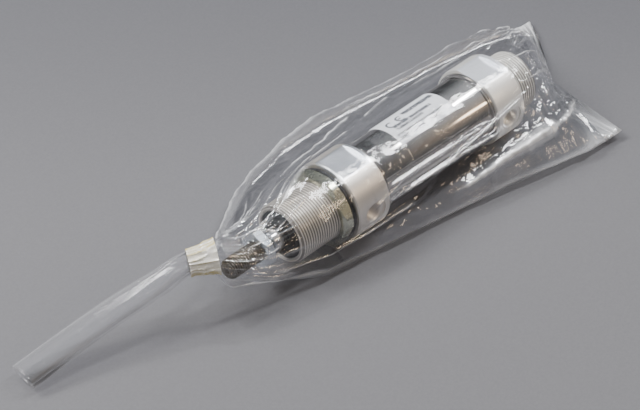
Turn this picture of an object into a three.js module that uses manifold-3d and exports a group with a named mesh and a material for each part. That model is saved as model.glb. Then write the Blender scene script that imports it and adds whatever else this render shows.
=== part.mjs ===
// A round pneumatic cylinder with threaded noses, tied up in its clear bag.
// Millimetres. The cylinder's axis runs along X, and the rod points towards -X.
// Inside the group the axis is y = 0, z = 0. The group lifts it, so that the front
// cap's lower spanner flat is at z = 0, and x = 0 is the middle of that cap.

import * as THREE from 'three';
import { mergeVertices } from 'three/addons/utils/BufferGeometryUtils.js';
import Module from 'manifold-3d';

const wasm = await Module();
wasm.setup();

// Driving dimensions.
const fitGap = 0.3;
const boreDiameter = 32;
const tubeWall = 1.5;
const stroke = 50;

const capWall = 4.5;
const flatDepth = 2;
const frontCapLength = 20.5;
const rearCapLength = 18;
const spigotLength = 6;
const capEdge = 0.6;
const flatMargin = 1;
const flatLengthShare = 0.85;
const cutBeyond = 1;

const threadDiameter = 30;
const noseLength = 31.5;
const bossLength = 15.4;
const bossNeckLength = 3.4;
const bossNeckDepth = 1.2;
const threadEdge = 0.9;

const rollWidth = 2;
const rollHeight = 1.6;

const portDiameter = 8.6;
const portDepth = 8;
const portSeatDiameter = 14;
const portSeatDepth = 0.8;
const passageDiameter = 3;

const rodDiameter = 12;
const rodStep = 1;
const studEdge = 1;
const rodReach = 8.5;
const studLength = 25.5;
const rodTailStep = 2;

const wiperWall = 4.3;
const wiperDepth = 5;
const wiperLipShare = 0.33;
const bushWall = 1.2;
const airSpaceGap = 3;

const grooveWidth = 2.2;
const grooveDepth = 2.9;
const pistonClearance = 0.6;
const pistonLandEnd = 1;
const pistonLandMiddle = 1.1;
const magnetGrooveWidth = 2.9;
const magnetGrooveDepth = 4.4;
const guideRingWall = 2.1;
const bufferThickness = 1.5;
const bufferWall = 3.5;
const pistonNutThickness = 4.5;
const pistonNutWall = 2.5;
const pistonNutTrim = 0.45;

// A nut's wall is between its thread and its flats, and its trim is taken off the
// width across its corners. The rim shares say how far the end chamfers come in.
const noseNutWall = 3;
const noseNutThickness = 6;
const noseNutTrim = 2.37;
const noseNutTurn = 53;
const washerThickness = 1.5;
const washerWall = 3.4;
const rodNutWall = 3.5;
const rodNutThickness = 5;
const rodNutTrim = 0.42;
const rodNutTurn = 14;
const rodNutGap = 2.5;
const nutRimDrop = 0.96;
const nutRimDepth = 0.54;

const labelStart = 20.5;
const labelLength = 37.5;
const labelThickness = 0.3;
const labelAngles = [43.5, 119.5];

const filmThickness = 0.4;
const filmClearance = 0.5;
const filmLip = 1.6;
const flatFilm = 0.9;
const mouthNear = -19;
const mouthFar = 32;
const sealBeyond = 22;
const bandLength = 13;
const bandWall = 1.2;
const bandRadius = 7;
const bandStart = [-2.5, 3.5, 8.4];
const bandSlant = 0.64;
const tailLength = 84;
const tailWidth = 18.8;
const tailThickness = 9.2;
const tailSag = 1.5;

const roundSides = 32;
const smallSides = 24;
const drillSides = 24;
const passageSides = 12;
const labelSteps = 12;
const filmOver = 24;
const filmUnder = 12;
const filmNormals = 120;
const tailRows = 22;
const tailSides = 16;

// Worked out from them.
const boreRadius = boreDiameter / 2;
const tubeRadius = boreRadius + tubeWall;
const capRadius = boreRadius + capWall;
const flatRadius = capRadius - flatDepth;
const rollRadius = tubeRadius + rollHeight;
const threadRadius = threadDiameter / 2;
const spigotRadius = boreRadius - fitGap;
const rodRadius = rodDiameter / 2;
const studRadius = rodRadius - rodStep;
const rodTailRadius = rodRadius - rodTailStep;
const wiperRadius = rodRadius + wiperWall;
const airSpaceRadius = rodRadius + airSpaceGap;
const pistonRadius = boreRadius - pistonClearance;
const grooveRadius = spigotRadius - grooveDepth;
const magnetGrooveRadius = pistonRadius - magnetGrooveDepth;
const halfLength = pistonLandEnd + grooveWidth + pistonLandMiddle + (magnetGrooveWidth - fitGap) / 2;
const pistonLength = 2 * halfLength + fitGap;

const frontCapFront = -frontCapLength / 2;
const frontCapBack = frontCapLength / 2;
const noseEnd = frontCapFront - noseLength;
const tubeFront = frontCapBack + fitGap;
const frontSpigotEnd = frontCapBack + spigotLength;
const frontBufferStart = frontSpigotEnd + fitGap;
const pistonFront = frontBufferStart + bufferThickness + fitGap + stroke;
const pistonBack = pistonFront + pistonLength;
const rearBufferStart = pistonBack + fitGap;
const rearSpigotStart = rearBufferStart + bufferThickness + fitGap;
const rearCapFront = rearSpigotStart + spigotLength;
const rearCapBack = rearCapFront + rearCapLength;
const bossEnd = rearCapBack + bossLength;
const tubeBack = rearCapFront - fitGap;
const rodShoulder = noseEnd - rodReach;
const rodTip = rodShoulder - studLength;
const washerBack = frontCapFront - fitGap;
const noseNutBack = washerBack - washerThickness - fitGap;
const rodNutBack = rodShoulder - rodNutGap;

// A nut's rim is the radius of its trimmed corners.
const noseNutRim = (threadRadius + noseNutWall) / Math.cos(Math.PI / 6) - noseNutTrim / 2;

// The film goes round whatever is widest, and that also holds the nut off the surface.
const filmRadius = Math.max(capRadius, rollRadius, noseNutRim) + filmClearance + filmThickness;
const filmFloor = -filmRadius;
const bossFilm = threadRadius + 2 * filmClearance + filmThickness;
const mouthFilm = threadRadius + 2 * filmClearance;
const bagMouth = rodShoulder;

function finish(color, roughness, metalness) {
  return new THREE.MeshStandardMaterial({ color, roughness, metalness });
}

const cylinder = new THREE.Group();
cylinder.position.z = flatRadius;

function place(name, geometry, material) {
  const mesh = new THREE.Mesh(geometry, material);
  mesh.name = name;
  cylinder.add(mesh);
  return mesh;
}

// A body turned about the X axis from [x, radius] points, listed either way round.
// A profile that doesn't touch the axis closes on itself.
function turned(profile, sides = roundSides) {
  const onAxis = profile[0][1] === 0 && profile.at(-1)[1] === 0;
  const points = profile.map(([x, radius]) => new THREE.Vector2(radius, x));
  const facing = THREE.ShapeUtils.area(points) > 0;
  const ordered = facing ? points : points.reverse();
  const closed = onAxis ? ordered : [...ordered, ordered[0].clone()];
  const geometry = new THREE.LatheGeometry(closed, sides);
  geometry.rotateZ(-Math.PI / 2);
  return geometry;
}

// A ring of rectangular section with chamfered outer edges.
function ring(start, end, inner, outer, edge = 0.2, sides = roundSides) {
  const profile = [
    [start, inner],
    [start, outer - edge],
    [start + edge, outer],
    [end - edge, outer],
    [end, outer - edge],
    [end, inner],
  ];
  return turned(profile, sides);
}

// A cylinder of any direction, for drilled holes.
function drill(from, towards, radius, sides = drillSides) {
  const start = new THREE.Vector3(...from);
  const end = new THREE.Vector3(...towards);
  const axis = end.clone().sub(start);
  const geometry = new THREE.CylinderGeometry(radius, radius, axis.length(), sides);
  const turn = new THREE.Quaternion().setFromUnitVectors(new THREE.Vector3(0, 1, 0), axis.normalize());
  geometry.applyQuaternion(turn);
  const middle = start.add(end).multiplyScalar(0.5);
  geometry.translate(middle.x, middle.y, middle.z);
  return geometry;
}

function block(low, high) {
  const size = high.map((value, axis) => value - low[axis]);
  const geometry = new THREE.BoxGeometry(...size);
  geometry.translate(...low.map((value, axis) => value + size[axis] / 2));
  return geometry;
}

function toSolid(geometry) {
  const bare = geometry.index ? geometry.clone() : geometry;
  bare.deleteAttribute('normal');
  bare.deleteAttribute('uv');
  const merged = mergeVertices(bare, 1e-5);
  const vertProperties = new Float32Array(merged.attributes.position.array);
  const triVerts = new Uint32Array(merged.index.array);
  return new wasm.Manifold(new wasm.Mesh({ numProp: 3, vertProperties, triVerts }));
}

function toGeometry(solid) {
  const mesh = solid.getMesh();
  const geometry = new THREE.BufferGeometry();
  geometry.setAttribute('position', new THREE.BufferAttribute(mesh.vertProperties, 3));
  geometry.setIndex(new THREE.BufferAttribute(mesh.triVerts, 1));
  return geometry;
}

function cut(geometry, tools) {
  const left = tools.reduce((body, tool) => body.subtract(toSolid(tool)), toSolid(geometry));
  return toGeometry(left);
}

// The two spanner flats, from start to end, on a body wider than they are apart.
function flatCuts(start, end) {
  const beyond = capRadius + cutBeyond;
  return [
    block([start, -beyond, flatRadius], [end, beyond, beyond]),
    block([start, -beyond, -beyond], [end, beyond, -flatRadius]),
  ];
}

// A port towards -Y: a seat, the threaded hole and the passage into the air space.
function portCuts(x) {
  const outside = capRadius + cutBeyond;
  const seat = capRadius - portSeatDepth;
  const floor = seat - portDepth;
  return [
    drill([x, -outside, 0], [x, -seat, 0], portSeatDiameter / 2),
    drill([x, -outside, 0], [x, -floor, 0], portDiameter / 2),
    drill([x, -floor - cutBeyond, 0], [x, cutBeyond - airSpaceRadius, 0], passageDiameter / 2, passageSides),
  ];
}

// A hexagon nut along X. Its flats stand wall outside the hole, and its corners are
// turned down by trim.
function hexNut(front, thickness, inside, wall, trim, turn) {
  const back = front + thickness;
  const flat = inside + wall;
  const hole = inside + fitGap;
  const corner = flat / Math.cos(Math.PI / 6);
  const outline = new THREE.Shape();
  for (let side = 0; side < 6; side += 1) {
    const angle = THREE.MathUtils.degToRad(turn + 60 * side);
    const point = [corner * Math.cos(angle), corner * Math.sin(angle)];
    if (side === 0) outline.moveTo(...point);
    else outline.lineTo(...point);
  }
  const prism = new THREE.ExtrudeGeometry(outline, { depth: back - front, bevelEnabled: false });
  prism.applyMatrix4(new THREE.Matrix4().set(0, 0, 1, front, 1, 0, 0, 0, 0, 1, 0, 0, 0, 0, 0, 1));
  const rim = corner - trim / 2;
  const drop = nutRimDrop * (corner - flat);
  const depth = nutRimDepth * (corner - flat);
  const rounded = turned([
    [front, 0],
    [front, rim - drop],
    [front + depth, rim],
    [back - depth, rim],
    [back, rim - drop],
    [back, 0],
  ]);
  const blank = toSolid(prism).intersect(toSolid(rounded));
  const bore = drill([front - cutBeyond, 0, 0], [back + cutBeyond, 0, 0], hole, roundSides);
  return toGeometry(blank.subtract(toSolid(bore)));
}

// Front cap: the threaded nose, the body with its flats and port, and the spigot in the tube.
function frontCap() {
  const grooveStart = frontCapBack + (spigotLength - grooveWidth) / 2;
  const bushHole = rodRadius + fitGap + bushWall + fitGap;
  const body = turned([
    [noseEnd, wiperRadius],
    [noseEnd, threadRadius - threadEdge],
    [noseEnd + threadEdge, threadRadius],
    [frontCapFront, threadRadius],
    [frontCapFront, capRadius - capEdge],
    [frontCapFront + capEdge, capRadius],
    [frontCapBack - capEdge, capRadius],
    [frontCapBack, capRadius - capEdge],
    [frontCapBack, spigotRadius],
    [grooveStart, spigotRadius],
    [grooveStart, grooveRadius],
    [grooveStart + grooveWidth, grooveRadius],
    [grooveStart + grooveWidth, spigotRadius],
    [frontSpigotEnd, spigotRadius],
    [frontSpigotEnd, airSpaceRadius],
    [frontCapFront, airSpaceRadius],
    [frontCapFront, bushHole],
    [noseEnd + wiperDepth, bushHole],
    [noseEnd + wiperDepth, wiperRadius],
  ]);
  const flatStart = frontCapFront + flatMargin;
  const flats = flatCuts(flatStart, flatStart + flatLengthShare * frontCapLength);
  return cut(body, [...flats, ...portCuts(0)]);
}

// Rear cap: the spigot, the body with its flats and port, and the threaded boss.
function rearCap() {
  const grooveStart = rearSpigotStart + (spigotLength - grooveWidth) / 2;
  const port = rearCapFront + rearCapLength / 2 - flatMargin;
  const floor = Math.max(pistonBack + pistonNutThickness + 4 * fitGap, port + passageDiameter);
  const body = turned([
    [rearSpigotStart, airSpaceRadius],
    [rearSpigotStart, spigotRadius],
    [grooveStart, spigotRadius],
    [grooveStart, grooveRadius],
    [grooveStart + grooveWidth, grooveRadius],
    [grooveStart + grooveWidth, spigotRadius],
    [rearCapFront, spigotRadius],
    [rearCapFront, capRadius - capEdge],
    [rearCapFront + capEdge, capRadius],
    [rearCapBack - capEdge, capRadius],
    [rearCapBack, capRadius - capEdge],
    [rearCapBack, threadRadius - bossNeckDepth],
    [rearCapBack + bossNeckLength, threadRadius - bossNeckDepth],
    [rearCapBack + bossNeckLength + bossNeckDepth, threadRadius],
    [bossEnd - threadEdge, threadRadius],
    [bossEnd, threadRadius - threadEdge],
    [bossEnd, 0],
    [floor, 0],
    [floor, airSpaceRadius],
  ]);
  const flats = flatCuts(rearCapFront - cutBeyond, rearCapFront + flatLengthShare * rearCapLength);
  return cut(body, [...flats, ...portCuts(port)]);
}

// The tube, with its ends rolled out against the caps.
function barrelTube() {
  const roll = rollRadius;
  const step = rollWidth / 4;
  return turned([
    [tubeFront, boreRadius],
    [tubeFront, roll - step],
    [tubeFront + step, roll],
    [tubeFront + rollWidth - step, roll],
    [tubeFront + rollWidth, roll - step],
    [tubeFront + rollWidth, tubeRadius],
    [tubeBack - rollWidth, tubeRadius],
    [tubeBack - rollWidth, roll - step],
    [tubeBack - rollWidth + step, roll],
    [tubeBack - step, roll],
    [tubeBack, roll - step],
    [tubeBack, boreRadius],
  ]);
}

function pistonHalf(outerEnd, direction) {
  const at = (distance) => outerEnd + direction * distance;
  const sealEnd = pistonLandEnd + grooveWidth;
  const landEnd = sealEnd + pistonLandMiddle;
  const hole = rodTailRadius + fitGap;
  return turned([
    [at(0), hole],
    [at(0), pistonRadius],
    [at(pistonLandEnd), pistonRadius],
    [at(pistonLandEnd), grooveRadius],
    [at(sealEnd), grooveRadius],
    [at(sealEnd), pistonRadius],
    [at(landEnd), pistonRadius],
    [at(landEnd), magnetGrooveRadius],
    [at(halfLength), magnetGrooveRadius],
    [at(halfLength), hole],
  ]);
}

function smallRing(start, end, inner, outer) {
  return ring(start, end, inner, outer, 0.2, smallSides);
}

function grooveRing(start) {
  return smallRing(start + fitGap, start + grooveWidth - fitGap, grooveRadius + fitGap, boreRadius - fitGap);
}

function pistonRod() {
  return turned([
    [rodTip, 0],
    [rodTip, studRadius - studEdge],
    [rodTip + studEdge, studRadius],
    [rodShoulder, studRadius],
    [rodShoulder, rodRadius - studEdge / 2],
    [rodShoulder + studEdge / 2, rodRadius],
    [pistonFront - fitGap, rodRadius],
    [pistonFront - fitGap, rodTailRadius],
    [pistonBack + pistonNutThickness + 2 * fitGap, rodTailRadius],
    [pistonBack + pistonNutThickness + 2 * fitGap, 0],
  ]);
}

// The wiper seal: a ring whose lip comes closest to the rod a little way in.
function wiperSeal() {
  const outer = wiperRadius - fitGap;
  const back = noseEnd + wiperDepth - fitGap;
  return turned([
    [noseEnd, rodRadius + 4 * fitGap],
    [noseEnd, outer],
    [back, outer],
    [back, rodRadius + 2 * fitGap],
    [noseEnd + wiperLipShare * wiperDepth, rodRadius + fitGap],
  ]);
}

// A curved plate on the tube, from one angle to the other above the Y axis.
function label() {
  const [from, to] = labelAngles.map(THREE.MathUtils.degToRad);
  const inner = tubeRadius + fitGap;
  const outline = new THREE.Shape();
  outline.absarc(0, 0, inner + labelThickness, from, to, false);
  outline.absarc(0, 0, inner, to, from, true);
  const settings = { depth: labelLength, bevelEnabled: false, curveSegments: labelSteps };
  const plate = new THREE.ExtrudeGeometry(outline, settings);
  const start = frontCapBack + labelStart;
  plate.applyMatrix4(new THREE.Matrix4().set(0, 0, 1, start, 1, 0, 0, 0, 0, 1, 0, 0, 0, 0, 0, 1));
  return plate;
}

// How far a taut film section reaches from its middle, in a direction, once it is pulled
// in by inset. The section is the shortest loop round a circle and its two flat edges,
// which lie at heights low and low + lip, and it is cut off below at its floor.
function filmReach(section, angle, inset) {
  const corners = [section.near, section.far].flatMap((y) => [
    [y - section.y, section.low - section.z],
    [y - section.y, section.low + section.lip - section.z],
  ]);
  let reach = Infinity;
  for (let step = 0; step < filmNormals; step += 1) {
    const normal = (2 * Math.PI * step) / filmNormals;
    const facing = Math.cos(angle - normal);
    if (facing < 0.01) continue;
    const supports = corners.map(([y, z]) => y * Math.cos(normal) + z * Math.sin(normal));
    reach = Math.min(reach, (Math.max(section.radius, ...supports) - inset) / facing);
  }
  const drop = -Math.sin(angle);
  if (drop > 0.001) reach = Math.min(reach, (section.z - section.low - inset) / drop);
  return reach;
}

// The section's points: under it from the near edge to the far one, and back over the top.
function filmLoop(section, inset) {
  const middle = section.low + section.lip / 2 - section.z;
  const nearAngle = Math.atan2(middle, section.near - section.y);
  const farAngle = Math.atan2(middle, section.far - section.y);
  const start = nearAngle < 0 ? nearAngle + 2 * Math.PI : nearAngle;
  const points = [];
  for (let step = 0; step < filmOver + filmUnder; step += 1) {
    const upper = step < filmOver;
    const share = upper ? step / filmOver : (step - filmOver) / filmUnder;
    const angle = upper
      ? start + (farAngle - start) * share
      : farAngle + (start - 2 * Math.PI - farAngle) * share;
    const reach = filmReach(section, angle, inset);
    const y = section.y + reach * Math.cos(angle);
    const z = section.z + reach * Math.sin(angle);
    points.unshift([section.x + section.skew * (y - section.near), y, z]);
  }
  return points;
}

// Faces between loops of equal length that follow each other, and a fan over an end.
function addBands(faces, first, loops, size, flip) {
  for (let row = 0; row + 1 < loops; row += 1) {
    for (let step = 0; step < size; step += 1) {
      const next = (step + 1) % size;
      const a = first + row * size + step;
      const b = first + row * size + next;
      const c = a + size;
      const d = b + size;
      faces.push(...(flip ? [a, c, b, b, c, d] : [a, b, c, b, d, c]));
    }
  }
}

function addFan(faces, first, size, centre, flip) {
  for (let step = 0; step < size; step += 1) {
    const next = (step + 1) % size;
    const a = first + step;
    const b = first + next;
    faces.push(...(flip ? [a, b, centre] : [b, a, centre]));
  }
}

function fromFaces(points, faces) {
  const geometry = new THREE.BufferGeometry();
  geometry.setAttribute('position', new THREE.Float32BufferAttribute(points.flat(), 3));
  geometry.setIndex(faces);
  return geometry;
}

function middleOf(loop) {
  return [0, 1, 2].map((axis) => loop.reduce((sum, point) => sum + point[axis], 0) / loop.length);
}

// A film shell through sections that run towards +X. Its front end is open, and its
// rear end is open too unless it is sealed.
function filmShell(sections, sealed) {
  const outer = sections.map((section) => filmLoop(section, 0));
  const last = sections.at(-1);
  const innerSections = sealed ? [...sections.slice(0, -1), { ...last, x: last.x - filmThickness }] : sections;
  const inner = innerSections.map((section) => filmLoop(section, filmThickness));
  const size = outer[0].length;
  const rows = sections.length;
  const points = [...outer.flat(), ...inner.flat()];
  const innerFirst = rows * size;
  const faces = [];
  addBands(faces, 0, rows, size, false);
  addBands(faces, innerFirst, rows, size, true);
  const rim = (outerFirst, innerStart, flip) => {
    for (let step = 0; step < size; step += 1) {
      const next = (step + 1) % size;
      const a = outerFirst + step;
      const b = outerFirst + next;
      const c = innerStart + step;
      const d = innerStart + next;
      faces.push(...(flip ? [a, b, c, b, d, c] : [a, c, b, b, c, d]));
    }
  };
  rim(0, innerFirst, false);
  if (sealed) {
    points.push(middleOf(outer.at(-1)), middleOf(inner.at(-1)));
    addFan(faces, (rows - 1) * size, size, points.length - 2, true);
    addFan(faces, innerFirst + (rows - 1) * size, size, points.length - 1, false);
  } else {
    rim((rows - 1) * size, innerFirst + (rows - 1) * size, true);
  }
  return fromFaces(points, faces);
}

// The bag round the cylinder: x, the near and far edges, the circle that it clears, and
// the skew of the sealed end.
function bagSection(x, near, far, radius, z = 0, skew = 0) {
  return { x, near, far, y: 0, z, radius, low: filmFloor, lip: filmLip, skew };
}

function bagBody() {
  const sealed = filmFloor + flatFilm;
  return filmShell([
    bagSection(bagMouth, mouthNear, mouthFar, mouthFilm),
    bagSection(noseEnd + 2, -23, 41, mouthFilm + 1),
    bagSection(noseEnd + noseLength / 3, -25, 47, filmRadius),
    bagSection(frontCapFront, -27, 56, filmRadius),
    bagSection(frontCapBack, -30, 63, filmRadius),
    bagSection((frontCapBack + rearCapFront) / 2, -36, 63, filmRadius),
    bagSection(rearCapFront, -43, 58, filmRadius, 0, 0.05),
    bagSection(rearCapBack, -46, 54, filmRadius, 0, 0.1),
    bagSection(bossEnd, -50, 48, bossFilm, 0, 0.25),
    bagSection(bossEnd + sealBeyond / 2, -51, 44, filmRadius / 3, 2 * filmFloor / 3, 0.36),
    bagSection(bossEnd + sealBeyond, -52, 41, flatFilm, sealed, 0.43),
  ], true);
}

// The band starts in front of the rod's tip, to one side, and slants towards +Y.
const bandFront = new THREE.Vector3(rodTip, 0, 0).add(new THREE.Vector3(...bandStart));
const bandAxis = new THREE.Vector3(-1, bandSlant, 0).normalize();

// The neck closes from the bag's mouth onto the band. Up to the last section it also
// goes round the rod's thread.
function bagNeck() {
  const start = bagMouth - fitGap;
  const end = bandFront.x + 2 * fitGap;
  const gather = (share) => {
    const ease = share * share * (3 - 2 * share);
    const mix = (a, b) => a + (b - a) * ease;
    const aside = share ** 4;
    const room = share < 1 ? studRadius + 4 * fitGap : 0;
    const y = bandFront.y * aside;
    const z = bandFront.z * aside;
    const radius = mix(mouthFilm, bandRadius);
    const near = Math.min(mix(mouthNear, y - radius), -room);
    const far = Math.max(mix(mouthFar, y + radius), room);
    const low = Math.min(mix(filmFloor, z - radius), -room);
    const skew = bandSlant * aside;
    const x = start + (end - start) * share - skew * (y - near);
    return { x, near, far, y, z, radius, low, lip: filmLip, skew };
  };
  return filmShell([1, 0.96, 0.87, 0.7, 0.5, 0.25, 0].map(gather), false);
}

function neckBand() {
  const inner = bandRadius - bandWall;
  const geometry = ring(0, bandLength, inner, bandRadius, 0.4, smallSides);
  const turn = new THREE.Quaternion().setFromUnitVectors(new THREE.Vector3(1, 0, 0), bandAxis);
  geometry.applyQuaternion(turn);
  geometry.translate(...bandFront);
  return geometry;
}

// The gathered film: round in the band, then a flattened roll whose end rests on the surface.
function bagTail() {
  const bundle = bandRadius - bandWall - 2 * fitGap;
  const along = (distance) => bandFront.clone().addScaledVector(bandAxis, distance);
  const bandBack = along(bandLength);
  const rest = filmFloor + tailThickness / 2;
  const beyond = (share, y) => {
    const z = THREE.MathUtils.lerp(bandBack.z, rest, share) - tailSag * Math.sin(Math.PI * share);
    return new THREE.Vector3(bandBack.x - tailLength * share, bandBack.y + y, z);
  };
  const points = [
    along(0),
    along(bandLength / 2),
    bandBack,
    along(bandLength + 3),
    beyond(0.17, 5.5),
    beyond(0.4, 10.5),
    beyond(0.68, 14.5),
    beyond(1, 17.5),
  ];
  const curve = new THREE.CatmullRomCurve3(points);
  const size = tailSides;
  const loops = [];
  for (let row = 0; row <= tailRows; row += 1) {
    const share = row / tailRows;
    const centre = curve.getPointAt(share);
    const tangent = curve.getTangentAt(share);
    const side = new THREE.Vector3(0, 0, 1).cross(tangent).normalize();
    const up = tangent.clone().cross(side);
    const flat = THREE.MathUtils.smoothstep(share, 0.2, 0.7);
    const halfWidth = THREE.MathUtils.lerp(bundle, tailWidth / 2, flat);
    const halfHeight = THREE.MathUtils.lerp(bundle, tailThickness / 2, flat);
    const loop = [];
    for (let step = 0; step < size; step += 1) {
      const angle = (2 * Math.PI * step) / size;
      const point = centre.clone();
      point.addScaledVector(side, halfWidth * Math.cos(angle));
      point.addScaledVector(up, halfHeight * Math.sin(angle));
      loop.push(point.toArray());
    }
    loops.push(loop);
  }
  const outline = [...loops.flat(), middleOf(loops[0]), middleOf(loops.at(-1))];
  const faces = [];
  addBands(faces, 0, tailRows + 1, size, false);
  addFan(faces, 0, size, outline.length - 2, false);
  addFan(faces, tailRows * size, size, outline.length - 1, true);
  return fromFaces(outline, faces);
}

const anodised = finish(0xcfcdc6, 0.35, 0.9);
const rubber = finish(0x1c1c1d, 0.7, 0);
const bronze = finish(0xa8814f, 0.45, 0.9);
const zinc = finish(0xb9bda4, 0.35, 0.9);
const film = finish(0xdfe3e8, 0.2, 0);

place('front_cap', frontCap(), anodised);
place('rear_cap', rearCap(), finish(0xd6d5cf, 0.35, 0.9));
place('barrel_tube', barrelTube(), finish(0xc9c6c2, 0.12, 1));
place('identity_label', label(), finish(0xe9ebf0, 0.6, 0));

const bushInner = rodRadius + fitGap;
const bushFront = noseEnd + wiperDepth + fitGap;
place('rod_bush', smallRing(bushFront, frontCapFront - fitGap, bushInner, bushInner + bushWall), bronze);
place('rod_wiper_seal', wiperSeal(), rubber);

const frontGroove = frontCapBack + (spigotLength - grooveWidth) / 2;
const rearGroove = rearSpigotStart + (spigotLength - grooveWidth) / 2;
place('front_cap_oring', grooveRing(frontGroove), rubber);
place('rear_cap_oring', grooveRing(rearGroove), rubber);

const bufferOuter = boreRadius - 2 * fitGap;
const bufferInner = bufferOuter - bufferWall;
const frontBufferEnd = frontBufferStart + bufferThickness;
place('front_buffer', smallRing(frontBufferStart, frontBufferEnd, bufferInner, bufferOuter), rubber);
const rearBufferEnd = rearBufferStart + bufferThickness;
place('rear_buffer', smallRing(rearBufferStart, rearBufferEnd, bufferInner, bufferOuter), rubber);

place('piston_front_half', pistonHalf(pistonFront, 1), finish(0xbfc0c2, 0.4, 0.9));
place('piston_rear_half', pistonHalf(pistonBack, -1), finish(0xbfc0c2, 0.4, 0.9));
place('piston_seal_front', grooveRing(pistonFront + pistonLandEnd), rubber);
place('piston_seal_rear', grooveRing(pistonBack - pistonLandEnd - grooveWidth), rubber);

const middleStart = (pistonFront + pistonBack - magnetGrooveWidth) / 2 + fitGap;
const middleEnd = middleStart + magnetGrooveWidth - 2 * fitGap;
const guideInner = boreRadius - fitGap - guideRingWall;
const guideRing = smallRing(middleStart, middleEnd, guideInner, boreRadius - fitGap);
place('guide_ring', guideRing, finish(0x5b3a26, 0.6, 0));
const magnetInner = magnetGrooveRadius + fitGap;
const magnet = smallRing(middleStart, middleEnd, magnetInner, guideInner - fitGap);
place('piston_magnet', magnet, finish(0x3a3a3d, 0.6, 0.2));

place('piston_rod', pistonRod(), finish(0xb8babd, 0.1, 1));
place(
  'piston_nut',
  hexNut(pistonBack + fitGap, pistonNutThickness, rodTailRadius, pistonNutWall, pistonNutTrim, 0),
  zinc,
);
place(
  'rod_nut',
  hexNut(rodNutBack - rodNutThickness, rodNutThickness, studRadius, rodNutWall, rodNutTrim, rodNutTurn),
  finish(0xc4ccd6, 0.25, 0.9),
);

const washerInner = threadRadius + fitGap;
const washerOuter = threadRadius + washerWall;
place('nose_washer', ring(washerBack - washerThickness, washerBack, washerInner, washerOuter), rubber);
place(
  'nose_nut',
  hexNut(noseNutBack - noseNutThickness, noseNutThickness, threadRadius, noseNutWall, noseNutTrim, noseNutTurn),
  zinc,
);

place('bag_body', bagBody(), film);
place('bag_neck', bagNeck(), film);
place('neck_band', neckBand(), finish(0xd8c894, 0.5, 0));
place('bag_tail', bagTail(), film);

const part = new THREE.Group();
part.add(cylinder);
export default part;
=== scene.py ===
import math

import bmesh
import bpy
import numpy as np
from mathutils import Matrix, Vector


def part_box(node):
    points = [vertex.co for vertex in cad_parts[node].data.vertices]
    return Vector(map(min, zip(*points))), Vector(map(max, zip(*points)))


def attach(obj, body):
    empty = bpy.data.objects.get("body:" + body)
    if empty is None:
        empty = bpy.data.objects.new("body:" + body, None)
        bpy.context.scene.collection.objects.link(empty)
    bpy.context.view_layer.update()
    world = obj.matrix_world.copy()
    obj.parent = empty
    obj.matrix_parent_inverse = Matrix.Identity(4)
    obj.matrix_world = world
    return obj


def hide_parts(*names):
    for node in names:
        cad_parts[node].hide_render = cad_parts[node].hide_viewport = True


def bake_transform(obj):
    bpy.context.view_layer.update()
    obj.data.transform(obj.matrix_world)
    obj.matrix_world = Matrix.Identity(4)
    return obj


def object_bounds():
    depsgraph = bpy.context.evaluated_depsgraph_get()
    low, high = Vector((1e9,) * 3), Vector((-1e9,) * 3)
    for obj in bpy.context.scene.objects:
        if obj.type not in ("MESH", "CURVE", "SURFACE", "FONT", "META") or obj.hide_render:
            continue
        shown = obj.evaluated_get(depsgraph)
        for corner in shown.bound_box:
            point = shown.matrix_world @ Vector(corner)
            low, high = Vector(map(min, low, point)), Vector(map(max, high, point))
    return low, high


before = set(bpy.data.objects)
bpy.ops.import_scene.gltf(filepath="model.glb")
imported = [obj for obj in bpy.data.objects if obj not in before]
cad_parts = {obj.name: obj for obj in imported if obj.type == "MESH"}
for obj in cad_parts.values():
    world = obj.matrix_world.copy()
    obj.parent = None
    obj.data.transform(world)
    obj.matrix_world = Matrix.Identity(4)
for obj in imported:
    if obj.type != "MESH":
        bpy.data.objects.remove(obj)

CAD_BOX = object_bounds()
MM = 0.001
TAU = 2 * math.pi

# ---------------------------------------------------------------- places from the frame

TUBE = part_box("barrel_tube")
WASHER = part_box("nose_washer")
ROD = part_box("piston_rod")
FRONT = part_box("front_cap")
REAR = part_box("rear_cap")
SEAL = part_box("rod_wiper_seal")
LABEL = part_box("identity_label")
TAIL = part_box("bag_tail")

FIT = 0.3 * MM
AXIS_Z = (TUBE[0].z + TUBE[1].z) / 2
FLOOR_Z = CAD_BOX[0].z
NOSE_END = FRONT[0].x
CAP_FRONT = WASHER[1].x + FIT
CAP_BACK = TUBE[0].x - FIT
REAR_FRONT = TUBE[1].x + FIT
REAR_BACK = REAR_FRONT + 18 * MM
BOSS_END = REAR[1].x
CAP_R = FRONT[1].y
FLAT_R = AXIS_Z
THREAD_R = 15 * MM
THREAD_PITCH = 1.5 * MM
THREAD_DEPTH = 0.92 * MM
THREAD_ROOT = THREAD_R - THREAD_DEPTH
TUBE_R = 17.5 * MM
SPIGOT_R = 15.7 * MM
SPIGOT_DEPTH = 6 * MM
CAP_EDGE = 0.6 * MM
FLAT_SHARE = 0.85
WIPER_R = 10.3 * MM
COLLAR_R = 12.3 * MM
COLLAR_DEPTH = 1.3 * MM
ROD_R = ROD[1].y
STUD_R = 5 * MM
STUD_PITCH = 1.25 * MM
STUD_DEPTH = 0.75 * MM
ROD_TIP = ROD[0].x
ROD_SHOULDER = NOSE_END - 8.5 * MM
BEAD = 0.95 * MM
POLE = 0.001 * MM
TINY = 1e-12

# the label's length and width, in mm, that its print is laid out on
LABEL_LENGTH, LABEL_WIDTH = 37.5, 23.6


# ---------------------------------------------------------------- shader expressions

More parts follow.
